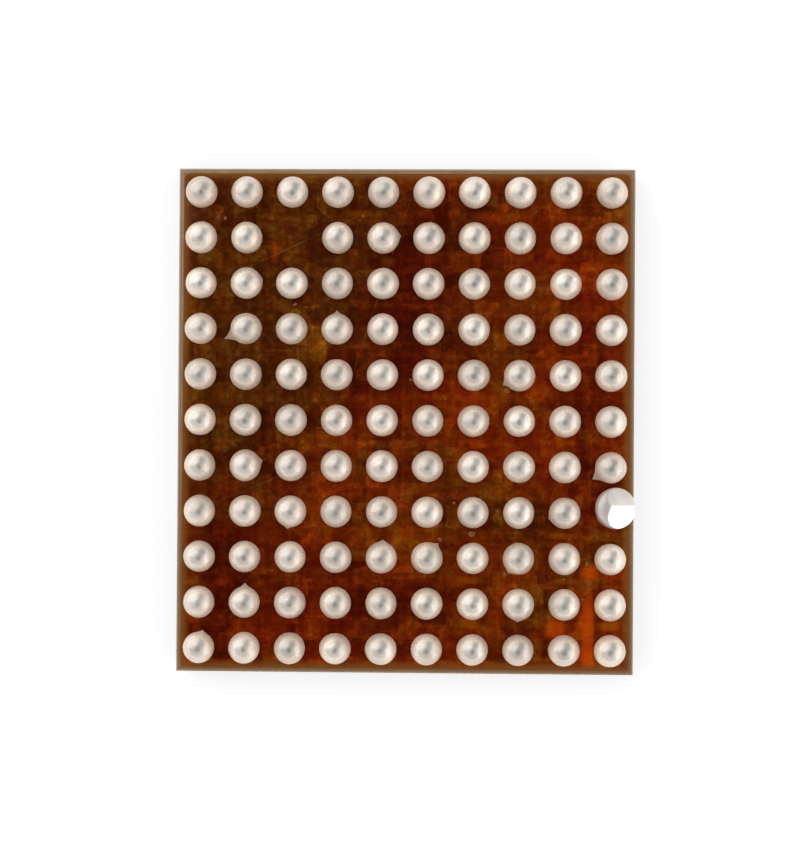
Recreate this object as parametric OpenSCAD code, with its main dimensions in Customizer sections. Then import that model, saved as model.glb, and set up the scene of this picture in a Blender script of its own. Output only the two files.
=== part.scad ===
// Wafer-level ball grid array chip, lying on its back with the solder balls up.
// It is built up the way it is made: a silicon die with its wiring stack, a lower polymer coat,
// routed copper that leads each contact inwards to a via, an upper polymer coat with a round
// opening over each pad, a contact dish in each opening and a solder ball on each dish.
// Millimetres. Origin at the middle of the back face, +Z towards the balls.

/* [Ball grid] */
// Distance between neighbouring ball centres
pitch = 0.4; // [0.36:0.01:0.5]
// Number of balls along X
column_count = 10; // [6:1:10]
// Number of balls along Y
row_count = 11; // [6:1:11]
// Outer ball centre to the sawn edge, along X
edge_margin_x = 0.21; // [0.2:0.005:0.4]
// Outer ball centre to the sawn edge, along Y
edge_margin_y = 0.22; // [0.2:0.005:0.4]
// Number of columns to the left of the site that has no ball
left_of_empty_count = 2; // [1:1:4]
// Number of rows above the site that has no ball
above_empty_count = 1; // [1:1:4]

/* [Solder balls] */
// Widest diameter of a reflowed ball
ball_d = 0.285; // [0.25:0.001:0.3]
// Diameter of the slumped ball in the last column
slumped_d = 0.362; // [0.34:0.002:0.37]
// Height of the slumped ball above its dish
slumped_h = 0.16; // [0.13:0.005:0.185]
// Radius of the slumped ball's rounded side
slumped_side_r = 0.095; // [0.094:0.001:0.11]
// How far the slumped ball's middle lies from its site, along X
slumped_shift_x = 0.047; // [0.03:0.001:0.05]
// How far the slumped ball's middle lies from its site, along Y
slumped_shift_y = 0.032; // [0:0.002:0.05]
// How much longer the slumped ball is along Y than along X
slumped_stretch = 0.028; // [0.01:0.002:0.05]
// Number of rows below the slumped ball
below_slumped_count = 3; // [1:1:4]
// Height of the flattened facet above the dish, over the slumped ball's middle
facet_h = 0.13; // [0.11:0.005:0.15]
// Lean of the flattened facet from level, in degrees
facet_lean = 27; // [15:1:35]
// Compass direction that the facet faces, in degrees from +X
facet_turn = -18; // [-60:1:0]

/* [Layers] */
// Thickness of the back-side film
back_film_t = 0.025; // [0.015:0.005:0.04]
// Thickness of the thinned silicon
silicon_t = 0.3; // [0.15:0.01:0.4]
// Thickness of the wiring stack on the silicon
stack_t = 0.01; // [0.008:0.001:0.015]
// Thickness of the aluminium die pads
die_pad_t = 0.005; // [0.004:0.001:0.007]
// Thickness of the lower polymer coat
lower_t = 0.01; // [0.006:0.001:0.015]
// Thickness of the routed copper
copper_t = 0.009; // [0.006:0.001:0.012]
// Thickness of the upper polymer coat beside the copper
field_t = 0.014; // [0.01:0.001:0.015]
// Thickness of the upper polymer coat over the copper
cover_t = 0.01; // [0.008:0.001:0.014]
// Wall thickness of a contact dish
dish_t = 0.009; // [0.006:0.001:0.012]

/* [Edge] */
// Width of the bare rim outside the polymer
rim_w = 0.045; // [0.03:0.005:0.055]
// Corner radius of the polymer coats
coat_corner_r = 0.06; // [0.03:0.01:0.1]
// Sawn edge to the outside of the seal ring
seal_inset = 0.014; // [0.01:0.001:0.02]
// Depth of the seal ring in the wiring stack
seal_t = 0.007; // [0.005:0.001:0.0075]
// Width of the seal ring
seal_w = 0.01; // [0.006:0.001:0.015]

/* [Contacts] */
// Outer diameter of a contact dish
dish_d = 0.24; // [0.22:0.002:0.246]
// Diameter of a round opening in the upper polymer
opening_d = 0.2; // [0.17:0.005:0.21]

/* [Routed copper] */
// Diameter of the copper pad under a dish
pad_d = 0.26; // [0.25:0.002:0.27]
// Width of the trace from a pad to its via
trace_w = 0.05; // [0.03:0.005:0.06]
// Diameter of the copper land over a via
land_d = 0.08; // [0.07:0.005:0.085]
// Diameter of a via through the lower polymer
via_d = 0.04; // [0.03:0.005:0.05]
// Side of an aluminium die pad
die_pad_w = 0.07; // [0.06:0.005:0.09]
// How far the upper polymer's step lies outside the copper's edge
step_w = 0.01; // [0.006:0.001:0.012]

/* [Hidden] */
// Copper planes, each as [first column, first row, last column, last row], counted from 1
ALL_PLANES = [
    [9, 1, 10, 4],
    [7, 3, 8, 4],
    [7, 5, 9, 7],
    [3, 4, 4, 5],
    [3, 6, 4, 8],
    [5, 7, 6, 9],
    [7, 9, 8, 10],
    [2, 10, 4, 11],
    [9, 9, 10, 11]
];
PLANES = [for (p = ALL_PLANES) if (p[2] <= column_count && p[3] <= row_count) p];
ROW_LETTERS = [for (j = [0:row_count - 1]) "abcdefghjkl"[j]];
$fn = 48;

// Overall size and the height of each layer's upper face
body_x = (column_count - 1) * pitch + 2 * edge_margin_x;
body_y = (row_count - 1) * pitch + 2 * edge_margin_y;
coat_x = body_x - 2 * rim_w;
coat_y = body_y - 2 * rim_w;
film_top = back_film_t;
silicon_top = film_top + silicon_t;
stack_top = silicon_top + stack_t;
lower_top = stack_top + lower_t;
copper_top = lower_top + copper_t;
field_top = lower_top + field_t;
cover_top = copper_top + cover_t;
dish_top = cover_top + dish_t;

// Sites are counted from 0: i along X, j down the rows. Traces run towards the middle site.
middle_i = floor(column_count / 2);
middle_j = floor(row_count / 2);
slumped_i = column_count - 1;
slumped_j = row_count - 1 - below_slumped_count;
all_rows = [0:row_count - 1];
dish_bore_r = opening_d / 2 - dish_t;
ball_centre_h = sqrt(pow(ball_d / 2, 2) - pow(dish_d / 2, 2));
over = 1;

function site(i, j) = [(i - (column_count - 1) / 2) * pitch, ((row_count - 1) / 2 - j) * pitch];
function inward(i, j) = [sign(middle_i - i), sign(j - middle_j)];
function land(i, j) = site(i, j) + inward(i, j) * pitch / 2;
function has_ball(i, j) = !(i == left_of_empty_count && j == above_empty_count);
function is_slumped(i, j) = i == slumped_i && j == slumped_j;
function in_plane(p, i, j) = i >= p[0] - 1 && i <= p[2] - 1 && j >= p[1] - 1 && j <= p[3] - 1;
function on_any_plane(i, j) = len([for (p = PLANES) if (in_plane(p, i, j)) p]) > 0;
function sites_of_row(j) = [for (i = [0:column_count - 1]) if (has_ball(i, j)) [i, j]];
function all_sites() = [for (j = all_rows) each sites_of_row(j)];
function signal_sites(j) = [for (s = sites_of_row(j)) if (!on_any_plane(s[0], s[1])) s];
function plane_sites(p) = [for (s = all_sites()) if (in_plane(p, s[0], s[1])) s];

// A level plate of the given outline size, centred on the origin
module plate(x, y, from_z, to_z) {
    translate([-x / 2, -y / 2, from_z]) cube([x, y, to_z - from_z]);
}

// Outline of a polymer coat: the die's face less the rim, with rounded corners
module coat_outline() {
    square([coat_x - 2 * coat_corner_r, coat_y], center = true);
    square([coat_x, coat_y - 2 * coat_corner_r], center = true);
    for (x = [-1, 1], y = [-1, 1])
        translate([x * (coat_x / 2 - coat_corner_r), y * (coat_y / 2 - coat_corner_r)])
            circle(r = coat_corner_r);
}

// Copper at one site, seen from above: pad, trace and via land, widened all round by grow
module site_outline(s, grow) {
    reach = norm(inward(s[0], s[1])) * pitch / 2;
    heading = atan2(inward(s[0], s[1])[1], inward(s[0], s[1])[0]);
    translate(site(s[0], s[1])) {
        circle(d = pad_d + 2 * grow);
        if (reach > 0)
            rotate(heading)
                translate([0, -trace_w / 2 - grow])
                    square([reach, trace_w + 2 * grow]);
    }
    if (reach > 0) translate(land(s[0], s[1])) circle(d = land_d + 2 * grow);
}

// Solid copper area between the sites of a plane, up to the outer edges of its pads
module area_outline(p, grow) {
    low = site(p[0] - 1, p[3] - 1);
    high = site(p[2] - 1, p[1] - 1);
    span = high - low;
    edge = pad_d / 2 + grow;
    translate([low[0] - edge, low[1]]) square([span[0] + 2 * edge, span[1]]);
    translate([low[0], low[1] - edge]) square([span[0], span[1] + 2 * edge]);
}

// All the routed copper, seen from above
module copper_outline(grow) {
    for (s = all_sites()) site_outline(s, grow);
    for (p = PLANES) area_outline(p, grow);
}

// The copper plugs that fill the vias under the given sites
module via_plugs(sites) {
    for (s = sites)
        translate([land(s[0], s[1])[0], land(s[0], s[1])[1], stack_top])
            cylinder(d = via_d, h = lower_t);
}

// Black epoxy film that protects the ground back of the die
module back_film() {
    color([0.07, 0.07, 0.08]) plate(body_x, body_y, 0, film_top);
}

// The die: thinned silicon, sawn square
module silicon_die() {
    color([0.42, 0.42, 0.44]) plate(body_x, body_y, film_top, silicon_top);
}

// Wiring layers and passivation on the die's active face, with seats for the pads and the seal
module wiring_stack() {
    color([0.56, 0.5, 0.43])
        difference() {
            plate(body_x, body_y, silicon_top, stack_top);
            seal_shape(over);
            die_pad_shapes(over);
        }
}

// Metal wall around the circuit, which stops cracks from the saw cut
module seal_ring() {
    color([0.72, 0.66, 0.55]) seal_shape(0);
}

module seal_shape(extra) {
    outer_x = body_x - 2 * seal_inset;
    outer_y = body_y - 2 * seal_inset;
    difference() {
        plate(outer_x, outer_y, stack_top - seal_t, stack_top + extra);
        plate(outer_x - 2 * seal_w, outer_y - 2 * seal_w, silicon_top - over, stack_top + 2 * over);
    }
}

// Aluminium pads in the top of the wiring stack, one under each via
module die_pads() {
    color([0.8, 0.8, 0.82]) die_pad_shapes(0);
}

module die_pad_shapes(extra) {
    for (s = all_sites())
        translate([land(s[0], s[1])[0], land(s[0], s[1])[1], 0])
            plate(die_pad_w, die_pad_w, stack_top - die_pad_t, stack_top + extra);
}

// First polymer coat, with a via hole over each die pad
module lower_polymer() {
    color([0.45, 0.22, 0.06])
        difference() {
            translate([0, 0, stack_top]) linear_extrude(lower_t) coat_outline();
            for (s = all_sites())
                translate([land(s[0], s[1])[0], land(s[0], s[1])[1], stack_top - over])
                    cylinder(d = via_d, h = lower_t + 2 * over);
        }
}

// Copper of one row's own signals: a pad, a short trace and a via at each site
module signal_copper(j) {
    color([0.78, 0.42, 0.22]) {
        translate([0, 0, lower_top])
            linear_extrude(copper_t)
                for (s = signal_sites(j)) site_outline(s, 0);
        via_plugs(signal_sites(j));
    }
}

// Copper plane that joins a block of power or ground sites
module copper_plane(p) {
    color([0.82, 0.46, 0.24]) {
        translate([0, 0, lower_top])
            linear_extrude(copper_t) {
                for (s = plane_sites(p)) site_outline(s, 0);
                area_outline(p, 0);
            }
        via_plugs(plane_sites(p));
    }
}

// Second polymer coat: it rises in a low step over the copper and is open over each pad
module upper_polymer() {
    color([0.36, 0.14, 0.03])
        difference() {
            union() {
                translate([0, 0, lower_top]) linear_extrude(field_t) coat_outline();
                translate([0, 0, lower_top])
                    linear_extrude(cover_top - lower_top) copper_outline(step_w);
            }
            translate([0, 0, lower_top - over]) linear_extrude(copper_t + over) copper_outline(0);
            for (s = all_sites())
                translate([site(s[0], s[1])[0], site(s[0], s[1])[1], lower_top])
                    cylinder(d = opening_d, h = cover_top - lower_top + over);
        }
}

// Plated metal dish that lines an opening and laps over its edge; it stands at cover height
module contact_dish() {
    rotate_extrude() {
        translate([0, copper_top]) square([opening_d / 2, dish_t]);
        translate([dish_bore_r, copper_top]) square([dish_t, cover_t + dish_t]);
        translate([dish_bore_r, cover_top]) square([dish_d / 2 - dish_bore_r, dish_t]);
    }
}

module contact_dishes(j) {
    color([0.74, 0.72, 0.66])
        for (s = sites_of_row(j)) translate(site(s[0], s[1])) contact_dish();
}

// Solder that fills a dish's hollow below its rim
module dish_fill() {
    translate([0, 0, copper_top + dish_t]) cylinder(r = dish_bore_r, h = cover_t);
}

// Reflowed ball: a sphere cut flat where it wets the dish, with the solder that fills the dish
module ball() {
    rotate_extrude()
        intersection() {
            translate([0, dish_top + ball_centre_h]) circle(d = ball_d);
            translate([0, dish_top]) square([ball_d, ball_d]);
        }
    dish_fill();
}

module balls(j) {
    color([0.86, 0.84, 0.8])
        for (s = sites_of_row(j))
            if (!is_slumped(s[0], s[1])) translate(site(s[0], s[1])) ball();
}

// One lobe of the slumped ball: flat on top, with a rounded side
module slumped_lobe() {
    flat_r = slumped_d / 2 - slumped_side_r;
    rotate_extrude()
        intersection() {
            union() {
                translate([flat_r, slumped_h - slumped_side_r]) circle(r = slumped_side_r);
                translate([0, -over]) square([flat_r, slumped_h + over]);
            }
            square([slumped_d, slumped_h]);
        }
}

// The ball that has slumped over its dish as far as the sawn edge, with a flattened facet on its outer side
module slumped_ball() {
    color([0.9, 0.89, 0.86])
        translate(site(slumped_i, slumped_j)) {
            dish_fill();
            difference() {
                translate([slumped_shift_x, slumped_shift_y, dish_top])
                    for (side = [-1, 1]) translate([0, side * slumped_stretch / 2]) slumped_lobe();
                translate([slumped_shift_x, slumped_shift_y, dish_top + facet_h])
                    rotate([0, 0, facet_turn])
                        rotate([0, facet_lean, 0])
                            translate([-over, -over, 0]) cube([2 * over, 2 * over, over]);
                translate([edge_margin_x, -over, 0]) cube([over, 2 * over, over]);
            }
        }
}

back_film();
silicon_die();
wiring_stack();
seal_ring();
die_pads();
lower_polymer();
for (j = all_rows)
    signal_copper(j);
for (k = [1:len(PLANES)])
    copper_plane(PLANES[k - 1]);
upper_polymer();
for (j = all_rows)
    contact_dishes(j);
for (j = all_rows)
    balls(j);
slumped_ball();
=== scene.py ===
import math
import random

import bpy
from mathutils import Matrix, Vector


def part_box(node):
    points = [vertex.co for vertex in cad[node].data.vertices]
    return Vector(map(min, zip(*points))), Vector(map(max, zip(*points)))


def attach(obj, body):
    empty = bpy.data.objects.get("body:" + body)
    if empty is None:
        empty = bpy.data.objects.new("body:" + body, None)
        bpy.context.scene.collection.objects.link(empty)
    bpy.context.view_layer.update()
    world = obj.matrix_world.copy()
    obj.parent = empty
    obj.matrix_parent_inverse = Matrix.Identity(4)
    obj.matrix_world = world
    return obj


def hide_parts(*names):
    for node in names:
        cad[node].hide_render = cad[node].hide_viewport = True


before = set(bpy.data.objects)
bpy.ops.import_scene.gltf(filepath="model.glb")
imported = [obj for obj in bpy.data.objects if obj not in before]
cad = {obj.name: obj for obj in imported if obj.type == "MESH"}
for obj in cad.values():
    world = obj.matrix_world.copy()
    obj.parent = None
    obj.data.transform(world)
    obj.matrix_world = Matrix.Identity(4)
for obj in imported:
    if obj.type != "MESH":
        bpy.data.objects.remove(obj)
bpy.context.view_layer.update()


# ---- Camera ----
# A long lens looks almost straight down on the chip, which fills a little over half of the width.
# It stands a little to the right of the middle.
camera_place = (0.0004746, -0.0002133, 0.0179500)
camera_turn = [math.radians(degrees) for degrees in (0.4127, 1.6893, 0.3717)]
sensor_long_side = 36.0
lens_length = 83.53
nearest_seen = 0.001
farthest_seen = 1.0

camera_data = bpy.data.cameras.new("camera")
camera_data.sensor_width = sensor_long_side
camera_data.lens = lens_length
camera_data.clip_start = nearest_seen
camera_data.clip_end = farthest_seen
camera = bpy.data.objects.new("camera", camera_data)
camera.location = camera_place
camera.rotation_euler = camera_turn
bpy.context.scene.collection.objects.link(camera)
bpy.context.scene.camera = camera
bpy.context.scene.view_settings.view_transform = "Standard"


# ---- Sky and lamps ----
# A plain light tent, brightest near the horizon and dark overhead, where the lens looks in on its
# arm. Two broad soft panels stand at the upper left and at the right. The sky is white to the lens.
sky_level = 0.65
horizon_level = 2.1
lens_level = 0.12
lens_compass = math.radians(275)
lens_lean = math.radians(11)
arm_level = 0.3
arm_compass = math.radians(53)
panels = {
    # name: (compass direction, angle from overhead, distance, width, radiance)
    "panel_left": (133, 68, 0.03, 0.062, 0.42),
    "panel_right": (-4, 87, 0.03, 0.062, 0.63),
}


def fit_node(tree, kind, inputs=None, **settings):
    """Adds a node with its settings. Each input is given as a value or as the socket that feeds it."""
    node = tree.nodes.new(kind)
    for name, value in settings.items():
        setattr(node, name, value)
    for name, value in (inputs or {}).items():
        if isinstance(value, bpy.types.NodeSocket):
            tree.links.new(value, node.inputs[name])
        else:
            node.inputs[name].default_value = value
    return node


def ramp_between(tree, value, low, high, to_low=0.0, to_high=1.0):
    """A smooth step from to_low to to_high as the value goes from low to high."""
    node = fit_node(tree, "ShaderNodeMapRange", {
        "Value": value, "From Min": low, "From Max": high, "To Min": to_low, "To Max": to_high,
    }, interpolation_type="SMOOTHSTEP")
    return node.outputs["Result"]


def arithmetic(tree, operation, first, second=0.0):
    """One sum of two values or sockets, and its result."""
    node = fit_node(tree, "ShaderNodeMath", {0: first, 1: second}, operation=operation)
    return node.outputs["Value"]


world = bpy.data.worlds.new("light_tent")
bpy.context.scene.world = world
world.use_nodes = True
sky = world.node_tree
direction = fit_node(sky, "ShaderNodeTexCoord").outputs["Generated"]
height_in_sky = fit_node(sky, "ShaderNodeSeparateXYZ", {0: direction}).outputs["Z"]
level = ramp_between(sky, height_in_sky, 0.05, 0.4, horizon_level, sky_level)
towards_arm = (math.cos(arm_compass), math.sin(arm_compass), 0)
across_arm = (-math.sin(arm_compass), math.cos(arm_compass), 0)
towards_lens = (
    math.sin(lens_lean) * math.cos(lens_compass),
    math.sin(lens_lean) * math.sin(lens_compass),
    math.cos(lens_lean),
)
reach, aside, near_lens = [
    fit_node(sky, "ShaderNodeVectorMath", {0: direction, 1: axis}, operation="DOT_PRODUCT").outputs["Value"]
    for axis in (towards_arm, across_arm, towards_lens)
]
# the tent is dimmer behind the arm, and a little dimmer on the far side
level = arithmetic(sky, "MULTIPLY", level, ramp_between(sky, reach, 0.1, 0.9, 1.0, 0.4))
level = arithmetic(sky, "MULTIPLY", level, ramp_between(sky, reach, -0.8, 0.0, 0.8, 1.0))
aside = arithmetic(sky, "ABSOLUTE", aside)
arm_starts = ramp_between(sky, reach, -0.1, 0.12)
arm_width = ramp_between(sky, aside, 0.06, 0.27, 1.0, 0.0)
arm = arithmetic(sky, "MULTIPLY", arm_starts, arm_width)
level = fit_node(sky, "ShaderNodeMix", {0: arm, 2: level, 3: arm_level}).outputs[0]
lens = ramp_between(sky, near_lens, 0.9, 0.985)
level = fit_node(sky, "ShaderNodeMix", {0: lens, 2: level, 3: lens_level}).outputs[0]
# it is even white to the lens, to clear pieces, and to gloss that looks along the bench
near_horizon = ramp_between(sky, height_in_sky, 0.05, 0.25, 1.0, 0.0)
rays = fit_node(sky, "ShaderNodeLightPath")
seen_by_gloss = arithmetic(sky, "MULTIPLY", rays.outputs["Is Glossy Ray"], near_horizon)
white_share = arithmetic(sky, "MAXIMUM", rays.outputs["Is Camera Ray"], seen_by_gloss)
white_share = arithmetic(sky, "MAXIMUM", white_share, rays.outputs["Is Transmission Ray"])
sky_strength = fit_node(sky, "ShaderNodeMix", {0: white_share, 2: level, 3: 1.0})
background = sky.nodes["Background"]
background.inputs["Color"].default_value = (1, 1, 1, 1)
sky.links.new(sky_strength.outputs[0], background.inputs["Strength"])

for name, (compass, from_overhead, distance, width, radiance) in panels.items():
    lamp = bpy.data.lights.new(name, "AREA")
    lamp.shape = "DISK"
    lamp.size = width
    lamp.energy = radiance * math.pi * math.pi * (width / 2) ** 2
    panel = bpy.data.objects.new(name, lamp)
    compass, from_overhead = math.radians(compass), math.radians(from_overhead)
    towards_lamp = Vector((
        math.sin(from_overhead) * math.cos(compass),
        math.sin(from_overhead) * math.sin(compass),
        math.cos(from_overhead),
    ))
    panel.location = towards_lamp * distance
    panel.rotation_mode = "QUATERNION"
    panel.rotation_quaternion = towards_lamp.to_track_quat("Z", "Y")
    panel.visible_camera = False
    bpy.context.scene.collection.objects.link(panel)


# ---- Bench ----
# A pale matt sheet of paper that the chip lies on. It is white to the lens where the light falls
# freely, and keeps the chip's soft shadow.
bench_width = 0.4
bench_drop = 0.0000005
paper_shade = (0.8, 0.8, 0.79, 1)
paper_white = (1, 1, 1, 1)
paper_lift = 0.55
paper_roughness = 0.9


def surface(name):
    """A new material, its node tree and its shader."""
    material = bpy.data.materials.new(name)
    material.use_nodes = True
    return material, material.node_tree, material.node_tree.nodes["Principled BSDF"]


bpy.ops.object.select_all(action="DESELECT")
bpy.ops.mesh.primitive_plane_add(size=bench_width, location=(0, 0, -bench_drop))
bench = bpy.context.object
bench.name = "bench"
paper, tree, shader = surface("paper")
shader.inputs["Base Color"].default_value = paper_shade
shader.inputs["Roughness"].default_value = paper_roughness
shader.inputs["Specular IOR Level"].default_value = 0.1
rays = fit_node(tree, "ShaderNodeLightPath")
seen = arithmetic(tree, "MAXIMUM", rays.outputs["Is Camera Ray"], rays.outputs["Is Glossy Ray"])
seen = arithmetic(tree, "MAXIMUM", seen, rays.outputs["Is Transmission Ray"])
tree.links.new(arithmetic(tree, "MULTIPLY", seen, paper_lift), shader.inputs["Emission Strength"])
shader.inputs["Emission Color"].default_value = paper_white
bench.data.materials.append(paper)


# ---- Back-side film ----
# Black epoxy film laminated to the ground back of the wafer before sawing. Its face is matt with
# fine filler grains, and the saw leaves level marks on its sides.
film_black = (0.0126, 0.0126, 0.0142, 1)
film_grey = (0.0395, 0.0395, 0.0411, 1)
film_chip_depth = 0.00001
film_grain_depth = 0.0000012
saw_mark_stretch = (0.06, 0.06, 1.0)


def start_group(name, values, results):
    """A new node group with the named inputs and outputs, and the sockets of its two end nodes."""
    group = bpy.data.node_groups.new(name, "ShaderNodeTree")
    for socket, default in values.items():
        kind = {float: "NodeSocketFloat", tuple: "NodeSocketColor", list: "NodeSocketVector"}[type(default)]
        made = group.interface.new_socket(socket, in_out="INPUT", socket_type=kind)
        made.default_value = default
    for socket, kind in results.items():
        group.interface.new_socket(socket, in_out="OUTPUT", socket_type="NodeSocket" + kind)
    return group, group.nodes.new("NodeGroupInput").outputs, group.nodes.new("NodeGroupOutput").inputs


def place_group(tree, group, inputs):
    """Puts a node group into a tree, and gives its outputs."""
    return fit_node(tree, "ShaderNodeGroup", inputs, node_tree=group).outputs


def blend_colours(tree, share, first, second, way="MIX"):
    """The first colour with a share of the second laid over it."""
    node = fit_node(tree, "ShaderNodeMix", {0: share, 6: first, 7: second}, data_type="RGBA")
    node.blend_type = way
    return node.outputs[2]


def raise_surface(tree, shader, height, depth, strength):
    """Bumps the shader's normal by a height of 0 to 1 that stands for a depth in metres."""
    bump = fit_node(tree, "ShaderNodeBump", {"Height": height, "Strength": strength, "Distance": depth})
    tree.links.new(bump.outputs["Normal"], shader.inputs["Normal"])


# grain: even fine grain at so many grains a metre
grain, g_in, g_out = start_group("grain", {
    "Per Metre": 50000.0, "Low": 0.3, "High": 0.7,
}, {"Value": "Float"})
spot = fit_node(grain, "ShaderNodeTexCoord").outputs["Object"]
noise = fit_node(grain, "ShaderNodeTexNoise", {
    "Vector": spot, "Scale": g_in["Per Metre"], "Detail": 5.0, "Roughness": 0.6,
}).outputs["Fac"]
grain.links.new(ramp_between(grain, noise, g_in["Low"], g_in["High"]), g_out["Value"])

# saw_cut: level marks on upright faces, with chips that bite in from a height where layers meet
saw_cut, g_in, g_out = start_group("saw_cut", {
    "Marks Per Metre": 90000.0, "Chip Height": 0.0, "Chip Depth": 0.00003,
}, {"Marks": "Float", "Chips": "Float"})
spot = fit_node(saw_cut, "ShaderNodeTexCoord")
stretched = fit_node(saw_cut, "ShaderNodeMapping", {
    "Vector": spot.outputs["Object"], "Scale": saw_mark_stretch,
})
lines = fit_node(saw_cut, "ShaderNodeTexNoise", {
    "Vector": stretched.outputs["Vector"], "Scale": g_in["Marks Per Metre"], "Detail": 3.0,
}).outputs["Fac"]
facing = fit_node(saw_cut, "ShaderNodeSeparateXYZ", {0: spot.outputs["Normal"]}).outputs["Z"]
upright = ramp_between(saw_cut, arithmetic(saw_cut, "ABSOLUTE", facing), 0.4, 0.6, 1.0, 0.0)
marks = arithmetic(saw_cut, "MULTIPLY", ramp_between(saw_cut, lines, 0.35, 0.65), upright)
saw_cut.links.new(marks, g_out["Marks"])
level = fit_node(saw_cut, "ShaderNodeSeparateXYZ", {0: spot.outputs["Object"]}).outputs["Z"]
away = arithmetic(saw_cut, "ABSOLUTE", arithmetic(saw_cut, "SUBTRACT", level, g_in["Chip Height"]))
away = arithmetic(saw_cut, "DIVIDE", away, g_in["Chip Depth"])
bites = fit_node(saw_cut, "ShaderNodeTexNoise", {
    "Vector": spot.outputs["Object"], "Scale": 26000.0, "Detail": 4.0, "Roughness": 0.55,
}).outputs["Fac"]
bites = arithmetic(saw_cut, "SUBTRACT", arithmetic(saw_cut, "MULTIPLY", bites, 2.0), away)
chips = arithmetic(saw_cut, "MULTIPLY", ramp_between(saw_cut, bites, 0.62, 0.8), upright)
saw_cut.links.new(chips, g_out["Chips"])

back_epoxy, tree, shader = surface("back_epoxy")
filler = place_group(tree, grain, {"Per Metre": 70000.0, "Low": 0.42, "High": 0.75})["Value"]
film_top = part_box("back_film")[1].z
cut = place_group(tree, saw_cut, {"Chip Height": film_top, "Chip Depth": film_chip_depth})
tone = blend_colours(tree, filler, film_black, film_grey)
tone = blend_colours(tree, arithmetic(tree, "MULTIPLY", cut["Marks"], 0.5), tone, film_grey)
tree.links.new(tone, shader.inputs["Base Color"])
tree.links.new(ramp_between(tree, filler, 0.0, 1.0, 0.5, 0.72), shader.inputs["Roughness"])
relief = arithmetic(tree, "ADD", filler, cut["Marks"])
raise_surface(tree, shader, relief, film_grain_depth, 0.6)
cad["back_film"].material_slots[0].material = back_epoxy


# ---- Silicon die ----
# Thinned single-crystal silicon, sawn square with a diamond blade. The cut sides are dull grey
# with level blade marks and small bright chips at the upper and lower edges.
silicon_grey = (0.2, 0.2, 0.21, 1)
silicon_pale = (0.36, 0.36, 0.37, 1)
silicon_dark = (0.09, 0.09, 0.1, 1)
silicon_chipped = (0.5, 0.5, 0.52, 1)
upper_chip_depth = 0.000035
lower_chip_depth = 0.00002
blade_mark_depth = 0.000004

sawn_silicon, tree, shader = surface("sawn_silicon")
die_low, die_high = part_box("silicon_die")
speckle = place_group(tree, grain, {"Per Metre": 60000.0, "Low": 0.35, "High": 0.7})["Value"]
cut = place_group(tree, saw_cut, {"Chip Height": die_high.z, "Chip Depth": upper_chip_depth})
cut_low = place_group(tree, saw_cut, {"Chip Height": die_low.z, "Chip Depth": lower_chip_depth})
tone = blend_colours(tree, speckle, silicon_dark, silicon_grey)
tone = blend_colours(tree, arithmetic(tree, "MULTIPLY", cut["Marks"], 0.7), tone, silicon_pale)
both_chips = arithmetic(tree, "MAXIMUM", cut["Chips"], cut_low["Chips"])
tone = blend_colours(tree, both_chips, tone, silicon_chipped)
tree.links.new(tone, shader.inputs["Base Color"])
shader.inputs["Metallic"].default_value = 0.55
rough = ramp_between(tree, cut["Marks"], 0.0, 1.0, 0.42, 0.58)
rough = arithmetic(tree, "SUBTRACT", rough, arithmetic(tree, "MULTIPLY", both_chips, 0.25))
tree.links.new(rough, shader.inputs["Roughness"])
relief = arithmetic(tree, "SUBTRACT", arithmetic(tree, "MULTIPLY", cut["Marks"], 0.4), both_chips)
raise_surface(tree, shader, relief, blade_mark_depth, 0.7)
cad["silicon_die"].material_slots[0].material = sawn_silicon


# ---- Wiring stack, seal ring and die pads ----
# The chip's own metal and glass layers, which show as a bare tan rim round the coats. A metal seal
# ring stands in the rim, and aluminium pads lie hidden under the vias.
rim_tan = (0.356, 0.172, 0.06, 1)
# the palest rim colour is the bare glass's tone, lightened further as a painted edge highlight
rim_pale_and_glint = (0.6, 0.45, 0.3, 1)
rim_ash = (0.78, 0.66, 0.5, 1)
rim_brown = (0.258, 0.092, 0.026, 1)
seal_metal = (0.42, 0.30, 0.2, 1)
pad_metal = (0.82, 0.82, 0.83, 1)
pad_dull = (0.66, 0.66, 0.68, 1)
palest_corner = (-0.6, 0.8, 0)

# from_edge: how far a spot lies inside the sawn outline, in metres
from_edge, g_in, g_out = start_group("from_edge", {"Half X": 0.002, "Half Y": 0.002}, {"Distance": "Float"})
spot = fit_node(from_edge, "ShaderNodeTexCoord").outputs["Object"]
spot = fit_node(from_edge, "ShaderNodeVectorMath", {0: spot}, operation="ABSOLUTE").outputs["Vector"]
spot = fit_node(from_edge, "ShaderNodeSeparateXYZ", {0: spot}).outputs
inside_x = arithmetic(from_edge, "SUBTRACT", g_in["Half X"], spot["X"])
inside_y = arithmetic(from_edge, "SUBTRACT", g_in["Half Y"], spot["Y"])
from_edge.links.new(arithmetic(from_edge, "MINIMUM", inside_x, inside_y), g_out["Distance"])

stack_glass, tree, shader = surface("stack_glass")
rim = place_group(tree, from_edge, {"Half X": die_high.x, "Half Y": die_high.y})["Distance"]
speckle = place_group(tree, grain, {"Per Metre": 45000.0, "Low": 0.3, "High": 0.72})["Value"]
patches = place_group(tree, grain, {"Per Metre": 4200.0, "Low": 0.35, "High": 0.65})["Value"]
# at the sawn edge the rim is paler: the bare glass's own tone, lightened further as a painted edge highlight
tone = blend_colours(tree, ramp_between(tree, rim, 0.0, 0.00004), rim_pale_and_glint, rim_tan)
tone = blend_colours(tree, ramp_between(tree, rim, 0.00002, 0.00006), tone, rim_brown)
tone = blend_colours(tree, arithmetic(tree, "MULTIPLY", speckle, 0.45), tone, rim_brown)
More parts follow.
